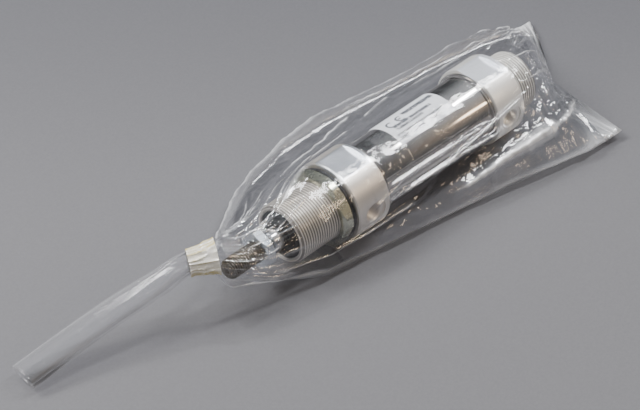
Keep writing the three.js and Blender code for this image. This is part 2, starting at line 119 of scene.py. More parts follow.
def add_node(tree, kind, settings=None, out=0, at=None, **named):
    """Any node: its settings are set first, then its sockets, by index or by name, take
    values or links."""
    made = tree.nodes.new(kind)
    for key, value in (settings or {}).items():
        setattr(made, key, value)
    names = {key.replace("_", " "): value for key, value in named.items()}
    for key, value in {**(at or {}), **names}.items():
        if isinstance(value, Value):
            tree.links.new(value.socket, made.inputs[key])
        else:
            made.inputs[key].default_value = value
    return Value(tree, made.outputs[out])


def mixed_colour(tree, share, first, second):
    """A colour between two colours or links."""
    ends = [end if isinstance(end, Value) else (*end[:3], 1.0) for end in (first, second)]
    return add_node(tree, "ShaderNodeMix", {"data_type": "RGBA"}, 2, {0: share, 6: ends[0], 7: ends[1]})


class Value:
    """A node's output that can be used in arithmetic. Each operation adds a Math node."""

    def __init__(self, tree, socket):
        self.tree = tree
        self.socket = socket

    def math(self, operation, *items):
        """A Math node whose sockets take the items in order."""
        return add_node(self.tree, "ShaderNodeMath", {"operation": operation}, at=dict(enumerate(items)))

    def __add__(self, other):
        return self.math("ADD", self, other)

    __radd__ = __add__

    def __sub__(self, other):
        return self.math("SUBTRACT", self, other)

    def __rsub__(self, other):
        return self.math("SUBTRACT", other, self)

    def __mul__(self, other):
        return self.math("MULTIPLY", self, other)

    __rmul__ = __mul__

    def __pow__(self, other):
        return self.math("POWER", self, other)

    def up_to(self, most):
        return self.math("MINIMUM", self, most)

    def above(self, level, width):
        """0 below level and 1 above it, with a smooth step of the given width."""
        return self.ramp(level - width / 2, level + width / 2)

    def ramp(self, low, high):
        """0 below low and 1 above high, with a smooth step between them."""
        smooth_step = {"interpolation_type": "SMOOTHSTEP"}
        return add_node(
            self.tree, "ShaderNodeMapRange", smooth_step, "Result", Value=self, From_Min=low, From_Max=high,
        )

    def within(self, low, high, soft):
        """1 between low and high and 0 outside, with soft edges."""
        return self.above(low, soft) * (1 - self.above(high, soft))


class Finish:
    """A procedural material. Its textures read Object coordinates, in metres, or a UV map."""

    def __init__(self, name, **uniform):
        self.material = bpy.data.materials.new(name)
        self.material.use_nodes = True
        self.tree = self.material.node_tree
        self.shader = self.tree.nodes["Principled BSDF"]
        self.output = self.tree.nodes["Material Output"]
        for socket, value in uniform.items():
            self.shader.inputs[socket.replace("_", " ")].default_value = value
        self.place = self.node("ShaderNodeTexCoord", out="Object")

    def node(self, kind, settings=None, out=0, at=None, **named):
        return add_node(self.tree, kind, settings, out, at, **named)

    def noise(self, scale, detail=3.0, stretch=(1, 1, 1), rough=0.5):
        where = self.node("ShaderNodeMapping", Vector=self.place, Scale=stretch)
        return self.node("ShaderNodeTexNoise", Vector=where, Scale=scale, Detail=detail, Roughness=rough)

    def axis(self, name, source=None):
        return self.node("ShaderNodeSeparateXYZ", out=name, Vector=source or self.place)

    def mix(self, share, first, second):
        return mixed_colour(self.tree, share, first, second)

    def feed(self, **sockets):
        for key, value in sockets.items():
            self.tree.links.new(value.socket, self.shader.inputs[key.replace("_", " ")])

    def bump(self, height, strength, distance):
        self.feed(Normal=self.node("ShaderNodeBump", Strength=strength, Distance=distance, Height=height))


def turned_metal(name, pale, dark, metal, rough, marks, mark_size=7000.0, thread=False):
    """Lathe marks: noise that changes fast along X and slowly across it. With a thread, painted
    shade darkens the thread's grooves, which lie under its major radius, and the surfaces well
    inside its root, such as the recesses and bores; a painted reflection tints the top flat bluish."""
    made = Finish(name, Metallic=metal)
    cloud = made.noise(90.0, 4.0)
    rings = made.noise(mark_size, 2.0, stretch=(1.0, 0.004, 0.004))
    # the top spanner flat only: 1 on it and 0 elsewhere; with a thread its colour below is a painted
    # reflection
    flat = made.axis("Z").above(AXIS_Z + FLAT_R - 0.1 * MM, 0.1 * MM)
    blots = made.noise(420.0, 3.0).above(0.66, 0.08)
    colour = made.mix(cloud, dark, pale)
    colour = made.mix(blots * 0.25, colour, tuple(0.55 * part for part in dark))
    if thread:
        across, up = made.axis("Y"), made.axis("Z") - AXIS_Z
        radius = (across * across + up * up) ** 0.5
        # painted shade: the thread's grooves are darkened as if in shade
        groove = radius.within(THREAD_R - 1.1 * MM, THREAD_R - 0.42 * MM, 0.3 * MM)
        # painted shade: surfaces well inside the thread's root, in the recesses and bores, are darkened
        inside = 1 - radius.above(THREAD_R - 1.6 * MM, 0.5 * MM)
        colour = made.mix(groove * 0.72, colour, (0.13, 0.12, 0.11))
        colour = made.mix(inside * 0.6, colour, (0.12, 0.11, 0.10))
        # painted reflection: the top flat is tinted pale blue, as if mirroring a cool sky overhead
        colour = made.mix(flat, colour, made.mix(cloud, (0.84, 0.87, 0.94), (0.92, 0.95, 1.0)))
    uneven = 0.12 * (cloud - 0.5) + 0.10 * (rings - 0.5)
    made.feed(Base_Color=colour, Roughness=rough + uneven - 0.1 * flat)
    made.bump(rings * 0.7 + 0.3 * made.noise(2500.0, 3.0), marks, 0.02 * MM)
    return made.material


def polished_tube():
    made = Finish("polished_tube", Metallic=1.0)
    lines = made.noise(5200.0, 2.0, stretch=(0.02, 1.0, 1.0))
    cloud = made.noise(60.0, 3.0)
    specks = made.noise(1500.0, 2.0).above(0.72, 0.05)
    colour = made.mix(cloud, (0.60, 0.575, 0.55), (0.70, 0.685, 0.67))
    made.feed(Base_Color=made.mix(specks * 0.4, colour, (0.35, 0.32, 0.3)))
    made.feed(Roughness=0.09 + 0.05 * cloud + 0.08 * specks)
    made.bump(lines, 0.05, 0.004 * MM)
    return made.material


def plated(name, pale, dark, tint, rough):
    """Zinc plating: two tones in clouds, an iridescent tint in patches and small pits."""
    made = Finish(name, Metallic=1.0)
    cloud = made.noise(160.0, 4.0).ramp(0.35, 0.65)
    patch = made.noise(75.0, 2.0).ramp(0.45, 0.7)
    pits = made.noise(1900.0, 2.0).above(0.64, 0.1)
    colour = made.mix(patch * 0.6, made.mix(cloud, dark, pale), tint)
    made.feed(Base_Color=made.mix(pits * 0.35, colour, tuple(0.4 * part for part in dark)))
    made.feed(Roughness=rough + 0.14 * (1 - cloud) + 0.2 * pits)
    made.bump(made.noise(1300.0, 4.0) - 0.4 * pits, 0.25, 0.02 * MM)
    return made.material


def rubber(name, tone=0.012):
    made = Finish(name, Specular_IOR_Level=0.22)
    grain = made.noise(2600.0, 4.0)
    dust = made.noise(300.0, 4.0).above(0.6, 0.2)
    made.feed(Base_Color=made.mix(dust * 0.3, (tone, tone, tone * 1.1), (0.06, 0.059, 0.057)))
    made.feed(Roughness=0.38 + 0.25 * grain)
    made.bump(grain, 0.3, 0.03 * MM)
    return made.material


def rod_steel():
    """Hard chrome on the shank, and a darker oiled steel on the threaded stud."""
    made = Finish("rod_steel", Metallic=1.0)
    stud = 1 - made.axis("X").above(ROD_SHOULDER, 0.2 * MM)
    cloud = made.noise(220.0, 4.0)
    oil = made.noise(800.0, 3.0).ramp(0.4, 0.7)
    chrome = made.mix(cloud, (0.62, 0.63, 0.65), (0.72, 0.73, 0.75))
    steel = made.mix(oil, (0.17, 0.155, 0.135), (0.28, 0.26, 0.23))
    made.feed(Base_Color=made.mix(stud, chrome, steel), Roughness=0.10 + 0.06 * cloud + 0.16 * stud)
    made.bump(made.noise(4200.0, 2.0, stretch=(1.0, 0.01, 0.01)), 0.12, 0.01 * MM)
    return made.material


def moulded(name, pale, dark, rough):
    made = Finish(name)
    grain = made.noise(900.0, 4.0)
    made.feed(Base_Color=made.mix(grain, dark, pale), Roughness=rough + 0.15 * grain)
    made.bump(grain, 0.25, 0.03 * MM)
    return made.material


def printed_label():
    """White film with grey printing: rows of short strokes, two half rings and a bar."""
    made = Finish("printed_label", Specular_IOR_Level=0.4)
    uv = made.node("ShaderNodeUVMap", {"uv_map": "print"})
    u = made.axis("X", uv)
    v = made.axis("Y", uv)

    def row(level, height, start, end, pitch, fill, seed):
        """A line of short strokes: noise over cells of u, kept where it is above 1 - fill."""
        cells = made.node("ShaderNodeCombineXYZ", X=u * pitch, Y=v * 14.0 + seed)
        strokes = made.node("ShaderNodeTexNoise", Vector=cells, Scale=1.0, Detail=1.0)
        line = v.within(level - height / 2, level + height / 2, 0.012) * u.within(start, end, 0.01)
        return strokes.above(1 - fill, 0.05) * line

    def half_ring(cu, cv, size, width):
        """The open side of a ring of the given size in mm, about a place in u and v."""
        across = (u - cu) * LABEL_LENGTH
        along = (v - cv) * LABEL_WIDTH
        reach = (across * across + along * along) ** 0.5
        return reach.within(size - width / 2, size + width / 2, 0.25) * u.within(0.0, cu + 0.035, 0.01)

    ink = half_ring(0.15, 0.44, 2.3, 1.0) + half_ring(0.33, 0.42, 2.3, 1.0)
    bar = u.within(0.29, 0.34, 0.01) * v.within(0.40, 0.44, 0.01)
    ink = ink + bar + row(0.33, 0.13, 0.42, 0.96, 30.0, 0.60, 3.1)
    ink = ink + row(0.56, 0.075, 0.12, 0.80, 48.0, 0.58, 7.7)
    ink = ink + row(0.65, 0.065, 0.12, 0.60, 52.0, 0.56, 1.4)
    ink = ink + row(0.78, 0.05, 0.05, 0.90, 58.0, 0.54, 5.2)
    ink = ink + row(0.87, 0.05, 0.05, 0.80, 60.0, 0.54, 9.6)
    fibre = made.noise(1400.0, 4.0)
    paper = made.mix(fibre, (0.70, 0.73, 0.79), (0.84, 0.86, 0.90))
    made.feed(Base_Color=made.mix(ink.up_to(1.0) * 0.93, paper, (0.03, 0.035, 0.05)))
    made.feed(Roughness=0.42 + 0.2 * fibre)
    made.bump(fibre, 0.08, 0.02 * MM)
    return made.material


def clear_film(name, tint, least, most, haze, rough, crinkle, creased=0.0):
    """Thin film: it is clear face on and reflects more at a glance. Its haze is in patches,
    and its creases, where the mesh has them, are whiter: partly the film's own whitening at a fold, partly a
    painted highlight along it."""
    made = Finish(name, Base_Color=(*tint, 1.0), Metallic=1.0)
    glance = made.node("ShaderNodeLayerWeight", out="Facing", Blend=0.5)
    cloud = made.noise(55.0, 4.0).ramp(0.5, 0.8)
    wrinkle = made.noise(260.0, 5.0, stretch=(0.3, 1.0, 1.0), rough=0.62)
    made.bump(wrinkle, crinkle, 1.0 * MM)
    share = least + (most - least) * (glance ** 3.5) + haze * cloud
    gloss = rough + 0.1 * cloud
    if creased:
        # creases: whiter and less metallic, partly the film's own whitening and partly a painted highlight
        # along the fold
        line = made.node("ShaderNodeAttribute", {"attribute_name": "crease"}, out="Fac")
        share = share + creased * line
        gloss = gloss + 0.2 * line
        made.feed(Metallic=1 - 0.75 * line)
    made.feed(Roughness=gloss)
    clear = made.node("ShaderNodeBsdfTransparent", Color=(0.985, 0.985, 0.99, 1.0))
    film = Value(made.tree, made.shader.outputs[0])
    both = made.node("ShaderNodeMixShader", at={0: share.up_to(1.0), 1: clear, 2: film})
    made.tree.links.new(both.socket, made.output.inputs["Surface"])
    return made


def milky_film():
    """Several layers of film seen together: a faintly milky body and a sharp gloss."""
    made = clear_film(
        "rolled_film", (0.78, 0.78, 0.80), least=0.05, most=0.70, haze=0.02, rough=0.08, crinkle=0.12,
    )
    made.shader.inputs["Metallic"].default_value = 0.55
    made.shader.inputs["Specular IOR Level"].default_value = 1.0
    return made.material


def band_tape():
    """Yellowed tape: deeper yellow where it is seen through its edge, with worn patches."""
    made = clear_film("tape", (0.86, 0.80, 0.58), least=0.66, most=0.98, haze=0.20, rough=0.08, crinkle=0.16)
    made.shader.inputs["Metallic"].default_value = 0.1
    edge = made.node("ShaderNodeLayerWeight", out="Facing", Blend=0.35).ramp(0.12, 0.5)
    worn = made.noise(300.0, 4.0).ramp(0.4, 0.7)
    colour = made.mix(worn, (0.95, 0.93, 0.85), (1.0, 0.99, 0.96))
    made.feed(Base_Color=made.mix(edge, colour, (0.78, 0.66, 0.30)))
    return made.material


# ---------------------------------------------------------------- meshes from grids

def grid_faces(rows, columns, around, first=0):
    """The quads of a grid of points, whose columns close on themselves if around is true."""
    steps = columns if around else columns - 1
    row, column = np.meshgrid(np.arange(rows - 1), np.arange(steps), indexing="ij")
    following = (column + 1) % columns
    a = row * columns + column
    b = row * columns + following
    return (first + np.stack([a, b, b + columns, a + columns], -1)).reshape(-1, 4)


def make_piece(name, points, patches, material, sharp=32.0, merge=None, outward=True):
    """A mesh object from points and a list of index arrays. Doubles nearer than merge are
    joined, faces are turned outward, and edges steeper than sharp degrees stay sharp."""
    mesh = bpy.data.meshes.new(name)
    faces = [face for patch in patches for face in patch.tolist()]
    mesh.from_pydata(points.reshape(-1, 3).tolist(), [], faces)
    mesh.materials.append(material)
    piece = bpy.data.objects.new(name, mesh)
    bpy.context.scene.collection.objects.link(piece)
    if merge or outward:
        work = bmesh.new()
        work.from_mesh(mesh)
        if merge:
            bmesh.ops.remove_doubles(work, verts=work.verts, dist=merge)
        if outward:
            bmesh.ops.recalc_face_normals(work, faces=work.faces)
        work.to_mesh(mesh)
        work.free()
    mesh.shade_smooth()
    if sharp:
        mesh.set_sharp_from_angle(angle=math.radians(sharp))
    return piece


def around_axis(x, radius, angle):
    """Points at radius and angle round the cylinder's axis: y = r cos t, z = r sin t."""
    x, radius, angle = np.broadcast_arrays(x, radius, angle)
    return np.stack([x, radius * np.cos(angle), AXIS_Z + radius * np.sin(angle)], -1)


def even_angles(keys, count):
    """Angles of a whole turn that include the keys, spaced evenly between them."""
    keys = sorted(key % TAU for key in keys)
    ends = keys[1:] + [keys[0] + TAU]
    parts = []
    for low, high in zip(keys, ends):
        steps = max(1, round(count * (high - low) / TAU))
        parts.append(np.linspace(low, high, steps, endpoint=False))
    return np.concatenate(parts)


def closed_turning(name, profile, angles, material, sharp=32.0):
    """A body turned from a closed profile: x and radius, as (rows,) or (rows, angles)."""
    x, radius = profile
    if x.ndim == 1:
        x, radius = x[:, None], radius[:, None]
    points = around_axis(x, radius, angles[None, :])
    points = np.concatenate([points, points[:1]])
    return make_piece(name, points, [grid_faces(*points.shape[:2], True)], material, sharp, merge=1e-7)


def thread_rows(start, end, major, pitch, depth, angles, fade_in, fade_out, samples=16):
    """A helical thread: r = major - depth * g, where g is a flattened triangle wave of
    x / pitch - t / 2 pi. It fades to the root at either end over the given lengths."""
    count = round((end - start) / pitch * samples)
    x = np.linspace(start, end, count)[:, None] + 0 * angles[None, :]
    phase = (x - start) / pitch - angles[None, :] / TAU
    wave = np.abs(2 * (phase % 1.0) - 1)
    groove = np.clip((wave - 0.14) / 0.74, 0, 1)
    radius = major - depth * groove
    front_limit = major - depth + (x - start) * (depth / fade_in)
    back_limit = major - depth + (end - x) * (depth / fade_out)
    return x, np.minimum(radius, np.minimum(front_limit, back_limit))


def flattened(radius, angles):
    """The radius with two flats at FLAT_R above and below: at most FLAT_R / |sin t|."""
    limit = FLAT_R / np.maximum(np.abs(np.sin(angles)), 1e-6)
    return np.minimum(radius, limit)


def stacked(parts, angles):
    """Joins profile stretches into rows: an (x, r) pair is a circle, a third value adds the
    spanner flats to it, and a pair of arrays is taken as it is."""
    xs, radii = [], []
    for part in parts:
        if isinstance(part[0], np.ndarray):
            xs.append(part[0])
            radii.append(part[1])
            continue
        radius = np.full(len(angles), part[1])
        if part[2:]:
            radius = flattened(radius, angles)
        xs.append(np.full((1, len(angles)), part[0]))
        radii.append(radius[None, :])
    return np.concatenate(xs), np.concatenate(radii)


def carve(piece, cutter):
    """Cuts a hole with the boolean modifier and keeps the result as plain mesh."""
    modifier = piece.modifiers.new("cut", "BOOLEAN")
    modifier.operation = "DIFFERENCE"
    modifier.solver = "EXACT"
    modifier.object = cutter
    bpy.context.view_layer.update()
    graph = bpy.context.evaluated_depsgraph_get()
    mesh = bpy.data.meshes.new_from_object(piece.evaluated_get(graph))
    piece.modifiers.clear()
    old = piece.data
    piece.data = mesh
    mesh.name = piece.name
    bpy.data.meshes.remove(old)
    shape = cutter.data
    bpy.data.objects.remove(cutter)
    bpy.data.meshes.remove(shape)
    mesh.shade_smooth()
    mesh.set_sharp_from_angle(angle=math.radians(28))


def port_cutter(x, material):
    """The port's seat, countersink and threaded hole, turned about -Y. The thread's ridges
    go in and out by the crest, half a pitch apart."""
    seat = CAP_R - 0.8 * MM
    seat_r, hole_r, depth = 7 * MM, 4.3 * MM, 8 * MM
    sink, crest, pitch = 0.7 * MM, 0.45 * MM, 0.907 * MM
    ridges = 8
    ridge_y = seat - 0.8 * MM - pitch * 0.5 * np.arange(2 * ridges)
    ridge_r = np.tile([hole_r, hole_r + crest], ridges)
    outside = CAP_R + 1 * MM
    reach = np.concatenate([[outside, outside, seat, seat, seat - sink], ridge_y, [seat - depth] * 2])
    radius = np.concatenate([[0, seat_r, seat_r, hole_r + sink, hole_r], ridge_r, [hole_r - 0.6 * MM, 0]])
    turn = np.linspace(0, TAU, 64, endpoint=False)
    across = radius[:, None] * np.cos(turn)
    up = radius[:, None] * np.sin(turn)
    points = np.stack([x + across, -reach[:, None] + 0 * across, AXIS_Z + up], -1)
    return make_piece("port_cutter", points, [grid_faces(*across.shape, True)], material, None, merge=1e-7)


# ---------------------------------------------------------------- metal pieces

FLAT_EDGE = math.acos(FLAT_R / CAP_R)
FLAT_KEYS = [
    math.pi / 2 - FLAT_EDGE, math.pi / 2 + FLAT_EDGE,
    -math.pi / 2 - FLAT_EDGE, -math.pi / 2 + FLAT_EDGE,
]


def front_cap(material):
    """From the nose's end: the collar's recess, the nose's thread, the cap with its two
    spanner flats, the spigot inside the tube and the rod's bore."""
    angles = even_angles(FLAT_KEYS, 144)
    flat_start = CAP_FRONT + 1 * MM
    flat_end = flat_start + FLAT_SHARE * (CAP_BACK - CAP_FRONT)
    recess = NOSE_END + COLLAR_DEPTH
    wiper_end = NOSE_END + 5 * MM
    spigot_end = CAP_BACK + SPIGOT_DEPTH
    bore, step = 9 * MM, 7.8 * MM
    thread = thread_rows(
        NOSE_END + 0.1 * MM, CAP_FRONT - 2.5 * MM, THREAD_R, THREAD_PITCH, THREAD_DEPTH, angles,
        0.9 * MM, 2 * MM,
    )
    parts = [
        (wiper_end, WIPER_R), (recess, WIPER_R), (recess, COLLAR_R),
        (NOSE_END + 0.3 * MM, COLLAR_R), (NOSE_END, COLLAR_R + 0.3 * MM), (NOSE_END, THREAD_ROOT - 0.3 * MM),
        thread, (CAP_FRONT, THREAD_ROOT),
        (CAP_FRONT, CAP_R - CAP_EDGE), (CAP_FRONT + CAP_EDGE, CAP_R),
        (flat_start, CAP_R), (flat_start, CAP_R, 1), (flat_end, CAP_R, 1), (flat_end, CAP_R),
        (CAP_BACK - CAP_EDGE, CAP_R), (CAP_BACK, CAP_R - CAP_EDGE),
        (CAP_BACK, SPIGOT_R), (spigot_end, SPIGOT_R), (spigot_end, bore),
        (CAP_FRONT, bore), (CAP_FRONT, step), (wiper_end, step),
    ]
    piece = closed_turning("front_cap_body", stacked(parts, angles), angles, material)
    carve(piece, port_cutter(0.0, material))
    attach(piece, "barrel")
    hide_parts("front_cap")


def rear_cap(material):
    """From inside the tube: the spigot, the cap with its two flats, a groove, the boss's
    thread and the boss's end with a centre hole."""
    angles = even_angles(FLAT_KEYS, 144)
    flat_end = REAR_FRONT + FLAT_SHARE * (REAR_BACK - REAR_FRONT)
    spigot_end = REAR_FRONT - SPIGOT_DEPTH
    groove_r = THREAD_R - 1.2 * MM
    round_r = 0.4 * MM
    bore, bore_end = 9 * MM, REAR_FRONT + 11 * MM
    thread = thread_rows(
        REAR_BACK + 3.4 * MM, BOSS_END - 0.1 * MM, THREAD_R, THREAD_PITCH, THREAD_DEPTH, angles,
        1.0 * MM, 0.9 * MM,
    )
    parts = [
        (spigot_end, bore), (spigot_end, SPIGOT_R), (REAR_FRONT, SPIGOT_R),
        (REAR_FRONT, CAP_R - 0.2 * MM, 1), (REAR_FRONT + CAP_EDGE, CAP_R, 1),
        (flat_end, CAP_R, 1), (flat_end, CAP_R), (REAR_BACK - CAP_EDGE, CAP_R), (REAR_BACK, CAP_R - CAP_EDGE),
        (REAR_BACK, groove_r + round_r), (REAR_BACK + round_r, groove_r), (REAR_BACK + 3.1 * MM, groove_r),
        thread, (BOSS_END, THREAD_ROOT - 0.2 * MM), (BOSS_END, 4.2 * MM), (BOSS_END - 0.8 * MM, 3.4 * MM),
        (BOSS_END - 2.2 * MM, POLE), (bore_end, POLE), (bore_end, bore),
    ]
    piece = closed_turning("rear_cap_body", stacked(parts, angles), angles, material)
    carve(piece, port_cutter(REAR_FRONT + 8 * MM, material))
    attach(piece, "barrel")
    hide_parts("rear_cap")


def rolled_ring(start, low, high):
    """A rounded bead on the tube, in (x, r) pairs: r = low + (high - low) sqrt(1 - s^4),
    with s from -1 to 1 over the bead's width."""
    share = np.linspace(-1, 1, 9)
    rise = np.sqrt(np.maximum(0.0, 1 - share ** 4))
    return list(zip(start + BEAD * (share + 1) / 2, low + (high - low) * rise))


def barrel_tube(material):
    """The tube, with two rolled beads at each end where it is closed over the caps."""
    angles = even_angles([0.0], 160)
    start, end = TUBE[0].x, TUBE[1].x
    top = TUBE[1].y
    outer_low, inner_low = TUBE_R + 0.5 * MM, TUBE_R + 0.1 * MM
    plain = 2.3 * MM
    inside = 16 * MM
    profile = [
        (start, inside),
        *rolled_ring(start, outer_low, top), *rolled_ring(start + 1.05 * MM, inner_low, top - 0.25 * MM),
        (start + plain, TUBE_R), (end - plain, TUBE_R),
        *rolled_ring(end - 2.0 * MM, inner_low, top - 0.15 * MM), *rolled_ring(end - BEAD, outer_low, top),
        (end, inside),
    ]
    piece = closed_turning("polished_barrel", np.array(profile).T, angles, material)
    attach(piece, "barrel")
    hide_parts("barrel_tube")


def hex_nut(name, node, body, material, across, hole, pitch, corner, turn, rim):
    """A nut: the hexagon's radius is a / cos(t), cut off at the corner radius, and a cone
    trims its corners at both faces. Its thread stops a little short of the hole's radius."""
    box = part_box(node)
    front, back = box[0].x, box[1].x
    sides = 6
    keys = [math.radians(turn + 360 / sides * side) for side in range(sides)]
    angles = even_angles(keys, 144)
    half = math.pi / sides
    offset = half - np.abs((angles - keys[0] + half) % (2 * half) - half)
    hexagon = np.minimum(across / 2 / np.cos(offset), corner)
    face_r, mouth_r = across / 2 - 0.35 * MM, hole + 0.7 * MM
    drop = np.maximum(hexagon - face_r, 0) * rim
    depth, clearance, inset, fade = 0.5 * MM, 0.1 * MM, 0.6 * MM, 0.4 * MM
    thread_x, thread_r = thread_rows(
        front + inset, back - inset, hole + depth, pitch, depth, angles, fade, fade, 8,
    )
    thread_r = 2 * hole + depth + clearance - thread_r
    every = np.ones_like(angles)
    rows_x = [front * every, front + drop, back - drop, back * every, back * every]
    rows_r = [face_r * every, hexagon, hexagon, face_r * every, mouth_r * every]
    x = np.concatenate([rows_x, thread_x[::-1], [front * every]])
    radius = np.concatenate([rows_r, thread_r[::-1], [mouth_r * every]])
    piece = closed_turning(name, (x, radius), angles, material, 20)
    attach(piece, body)
    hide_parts(node)


def nose_washer(material):
    """A flat ring with bevelled outer edges."""
    angles = even_angles([0.0], 128)
    start, end = WASHER[0].x, WASHER[1].x
    outer = WASHER[1].y
    edge = 0.3 * MM
    profile = [
        (start, THREAD_R + FIT), (start, outer - edge), (start + edge, outer),
        (end - edge, outer), (end, outer - edge), (end, THREAD_R + FIT),
    ]
    piece = closed_turning("toothed_washer", np.array(profile).T, angles, material)
    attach(piece, "nose_washer")
    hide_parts("nose_washer")


def piston_rod(material):
    """The stud with its centre mark and thread, the chromed shank and the thin tail that
    holds the piston."""
    angles = even_angles([0.0], 96)
    root = STUD_R - STUD_DEPTH
    edge, shoulder_edge = 0.45 * MM, 0.8 * MM
    tail_r = 4 * MM
    thread = thread_rows(
        ROD_TIP + 0.5 * MM, ROD_SHOULDER - 1.2 * MM, STUD_R, STUD_PITCH, STUD_DEPTH, angles,
        0.8 * MM, 1 * MM, 14,
    )
    back = ROD[1].x
    shank_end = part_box("piston_front_half")[0].x - FIT
    parts = [
        (ROD_TIP + 2 * edge, POLE / 2), (ROD_TIP + edge, 1.4 * MM), (ROD_TIP, 1.9 * MM),
        (ROD_TIP, root - 0.4 * MM), (ROD_TIP + edge, root), thread, (ROD_SHOULDER, root),
        (ROD_SHOULDER, ROD_R - shoulder_edge), (ROD_SHOULDER + shoulder_edge, ROD_R),
        (shank_end, ROD_R), (shank_end, tail_r),
        (back, tail_r), (back, POLE / 2),
    ]
    piece = closed_turning("chromed_rod", stacked(parts, angles), angles, material)
    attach(piece, "rod")
    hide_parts("piston_rod")


def wiper_seal(material):
    """The seal's collar, a rounded valley x = x0 + d sin(pi s)^0.8 that runs in towards the
    rod, and the thin lip that leans on the rod."""
    angles = even_angles([0.0], 96)
    start, end = SEAL[0].x, SEAL[1].x
    outer = SEAL[1].y
    share = np.linspace(0, 1, 10)
    valley_top, valley_foot = outer - 0.5 * MM, ROD_R + 1.3 * MM
    valley_r = valley_top - (valley_top - valley_foot) * share
    valley_x = start + 0.2 * MM + 1.7 * MM * np.sin(np.pi * share) ** 0.8
    lip_x = start - 0.25 * MM
    lip = [(lip_x, ROD_R + 0.9 * MM), (lip_x, ROD_R + 0.4 * MM), (start + 0.8 * MM, ROD_R + 0.3 * MM)]
    collar_r, collar_back = COLLAR_R - 0.2 * MM, NOSE_END + COLLAR_DEPTH - 0.1 * MM
    heel = [
        (end, ROD_R + 0.6 * MM), (end, outer), (collar_back, outer), (collar_back, collar_r),
        (collar_back - 0.5 * MM, collar_r), (collar_back - 0.7 * MM, collar_r - 0.3 * MM),
    ]
    profile = [*zip(valley_x, valley_r), *lip, *heel]
    piece = closed_turning("wiper_lip_seal", np.array(profile).T, angles, material)
    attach(piece, "barrel")
    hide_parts("rod_wiper_seal")


def label(material):
    """A thin curved plate: x runs along the tube and the angle round it, on a square grid.
    One corner lifts off the tube by a bell curve of its distance from both edges."""
    rows, columns = 60, 60
    low, high = math.radians(43.5), math.radians(119.5)
    u, v = np.meshgrid(np.linspace(0, 1, rows), np.linspace(0, 1, columns), indexing="ij")
    x = LABEL[0].x + (LABEL[1].x - LABEL[0].x) * u
    angle = low + (high - low) * v
    thickness = 0.12 * MM
    lift = thickness * np.exp(-((1 - v) / 0.05) ** 2) * np.exp(-((1 - u) / 0.12) ** 2)
    inner = TUBE_R + 0.02 * MM
    top = around_axis(x, inner + thickness + lift, angle)
    bottom = around_axis(x, inner, angle)
    points = np.concatenate([top.reshape(-1, 3), bottom.reshape(-1, 3)])
    count = rows * columns
    edge = np.concatenate([
        np.arange(columns), columns * np.arange(1, rows) + columns - 1,
        count - 2 - np.arange(columns - 1), columns * np.arange(rows - 2, 0, -1),
    ])
    following = np.roll(edge, -1)
    patches = [
        grid_faces(rows, columns, False), grid_faces(rows, columns, False, count)[:, ::-1],
        np.stack([edge, edge + count, following + count, following], -1),
    ]
    piece = make_piece("rating_label", points, patches, material)
    layer = piece.data.uv_layers.new(name="print")
    corner = np.zeros(len(piece.data.loops), np.int32)
    piece.data.loops.foreach_get("vertex_index", corner)
    uv = np.stack([u.ravel(), v.ravel()], -1)
    layer.data.foreach_set("uv", uv[corner % count].astype(np.float32).ravel())
    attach(piece, "barrel")
    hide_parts("identity_label")


# ---------------------------------------------------------------- the bag

def lattice_noise(p, q, seed, cells=64):
    """Smooth noise in 0..1: seeded values on a lattice, joined with 3t^2 - 2t^3."""
    table = np.random.default_rng(seed).random((cells, cells))
    i, j = np.floor(p).astype(int), np.floor(q).astype(int)
    s, t = p - i, q - j
    s, t = s * s * (3 - 2 * s), t * t * (3 - 2 * t)
    a = table[i % cells, j % cells]
    b = table[(i + 1) % cells, j % cells]
    c = table[i % cells, (j + 1) % cells]
    d = table[(i + 1) % cells, (j + 1) % cells]
    return (a * (1 - s) + b * s) * (1 - t) + (c * (1 - s) + d * s) * t


def creases(p, q, seed):
    """Sharp ridges where two octaves of noise cross their middle value."""
    first = 1 - np.abs(2 * lattice_noise(p, q, seed) - 1)
    second = 1 - np.abs(2 * lattice_noise(2.1 * p + 7, 2.1 * q + 3, seed + 1) - 1)
    return first ** 3 + 0.5 * second ** 3


def smooth(low, high, value):
    share = np.clip((value - low) / (high - low), 0, 1)
    return share * share * (3 - 2 * share)


FILM_LIP = 1.2 * MM
# x, near edge, far edge, circle's radius, its y and z, and the flat's z, in mm from the axis
FILM_STATIONS = [
    (-82.0, 2.5, 10.5, 5.2, 6.4, 8.6, 4.2),
    (-79.4, -1.0, 10.0, 6.6, 4.9, 8.5, 0.5),
    (-76.6, -5.2, 9.5, 7.6, 3.2, 7.6, -5.8),
    (-68.0, -6.5, 14.5, 9.2, 1.4, 3.6, -8.0),
    (-56.0, -10.5, 25.0, 12.6, 0.0, 0.8, -12.4),
    (-42.0, -16.2, 36.0, 16.0, 0.0, 0.0, -16.8),
    (-30.0, -19.8, 44.0, 19.6, 0.0, 0.0, -20.4),
    (-10.0, -23.0, 54.0, 21.0, 0.0, 0.0, -21.2),
    (20.0, -28.0, 62.0, 21.0, 0.0, 0.0, -21.2),
    (50.0, -34.0, 62.0, 21.0, 0.0, 0.0, -21.2),
    (85.0, -41.5, 58.0, 21.0, 0.0, 0.0, -21.2),
    (106.0, -46.0, 54.0, 21.0, 0.0, 0.0, -21.2),
    (122.0, -50.0, 48.0, 16.5, 0.0, 0.0, -21.2),
    (133.0, -51.0, 43.0, 7.5, 0.0, -11.5, -21.2),
    (143.5, -52.0, 41.0, 1.2, 0.0, -20.0, -21.2),
]
REAR_SWEEP = 40 * MM


